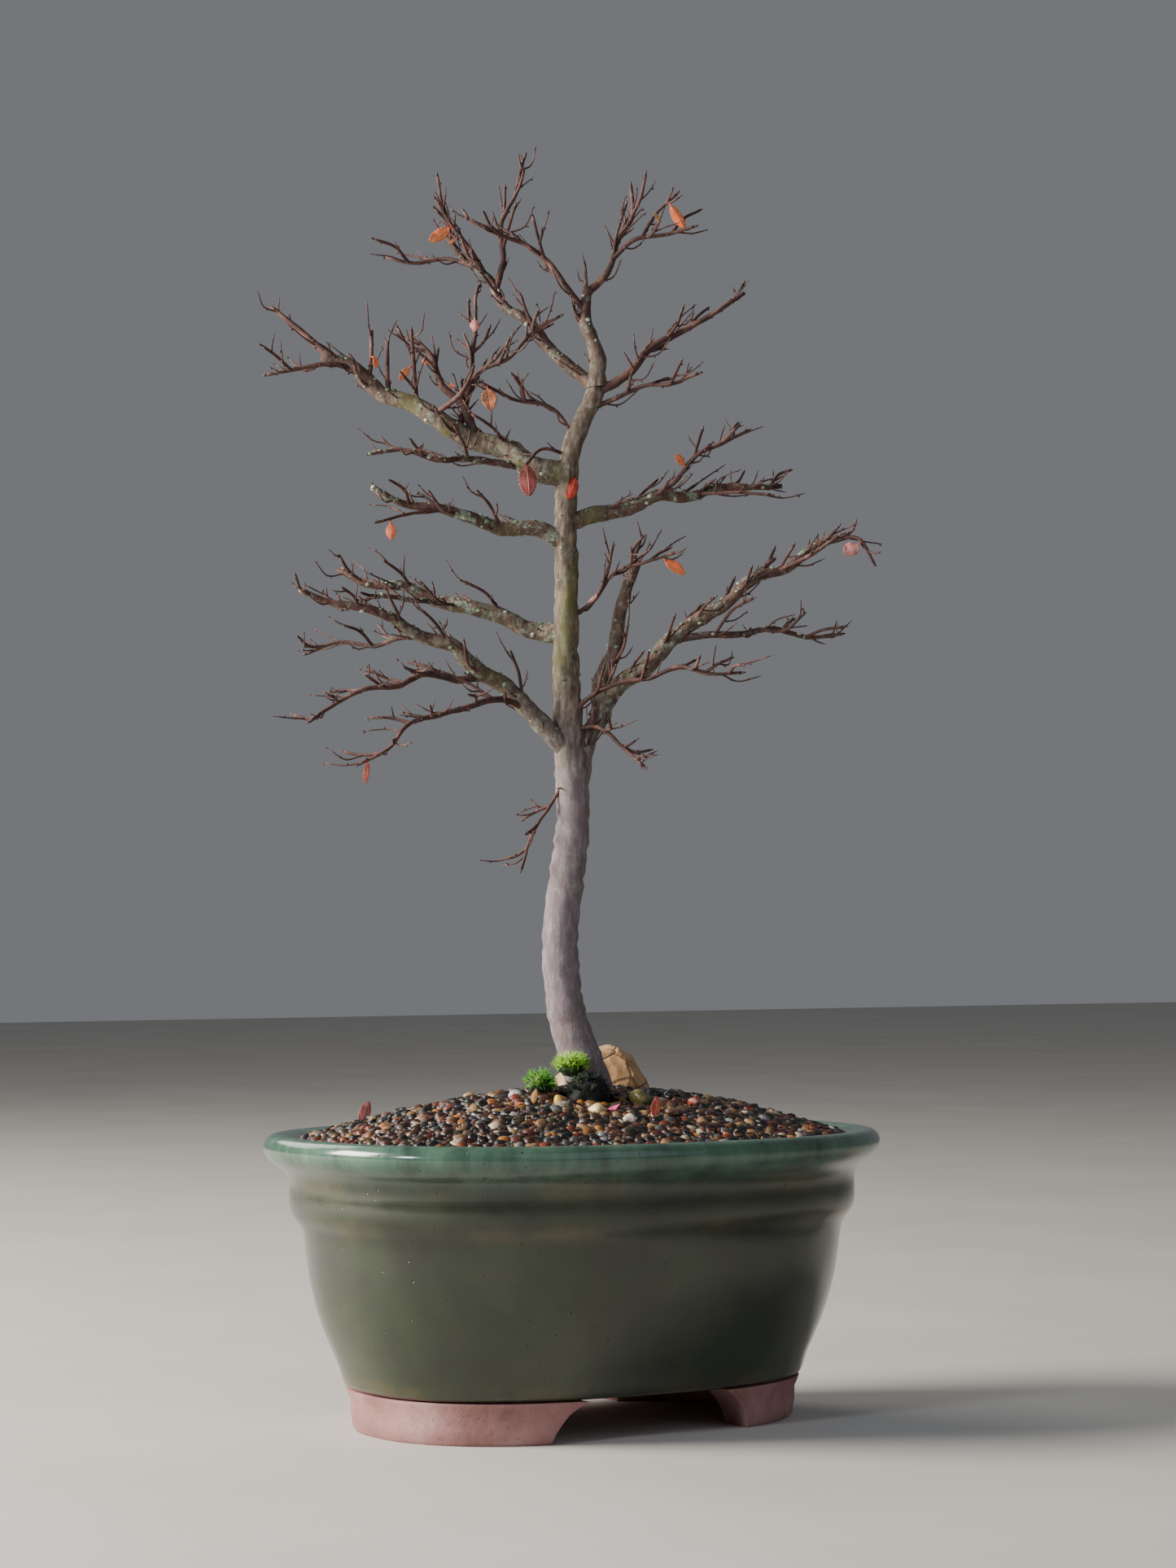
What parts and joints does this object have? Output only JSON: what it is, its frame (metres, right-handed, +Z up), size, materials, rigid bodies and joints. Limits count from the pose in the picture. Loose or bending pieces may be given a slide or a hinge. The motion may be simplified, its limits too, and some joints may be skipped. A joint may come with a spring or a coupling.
{
  "type": "potted bonsai tree",
  "caption": "Nearly bare autumn bonsai elm with a few coloured leaves, in an oval dark green glazed pot on unglazed feet, topped with mixed gravel, moss and a stone.",
  "frame": {"origin": "bottom centre of the pot, on the surface that it stands on", "axes": "+Z up along the trunk, +X along the pot's long side, +Y towards the back of the planting"},
  "size_m": [0.205, 0.152, 0.4127],
  "materials": {
    "glazed_ceramic": "gloss",
    "bark": "matte",
    "leaf": "satin",
    "moss": "matte",
    "soil": "matte",
    "gravel": "satin",
    "stone": "matte",
    "screen_mesh": "matte",
    "copper_wire": "satin"
  },
  "bodies": {
    "root": {"pot": "glazed_ceramic", "soil": "soil", "gravel_bed": "gravel", "tree": "bark", "feature_stone": "stone", "drain_screen_left": "screen_mesh", "drain_screen_right": "screen_mesh", "fallen_leaf_brown": "leaf", "fallen_leaf_dark": "leaf", "fallen_leaf_orange": "leaf", "fallen_leaf_pink": "leaf", "fallen_leaf_red": "leaf", "leaf_back_a": "leaf", "leaf_back_b": "leaf", "leaf_brown": "leaf", "leaf_crown_far_left": "leaf", "leaf_crown_left": "leaf", "leaf_far_right": "leaf", "leaf_front_pink": "leaf", "leaf_high_left": "leaf", "leaf_high_left_small": "leaf", "leaf_high_right": "leaf", "leaf_high_right_dry": "leaf", "leaf_large_red": "leaf", "leaf_left_orange": "leaf", "leaf_low_left": "leaf", "leaf_pink": "leaf", "leaf_right_mid": "leaf", "leaf_right_up": "leaf", "leaf_trunk_red": "leaf", "moss_bright": "moss", "moss_dark": "moss", "moss_green": "moss", "pebble_black": "stone", "pebble_brick": "stone", "pebble_brown": "stone", "pebble_cream": "stone", "pebble_grey": "stone", "pebble_olive": "stone", "pebble_quartz": "stone", "pebble_red": "stone", "pebble_sand": "stone", "pebble_slate": "stone", "pebble_tan": "stone", "pebble_yellow": "stone", "screen_wire_left": "copper_wire", "screen_wire_right": "copper_wire"}
  },
  "joints": []
}
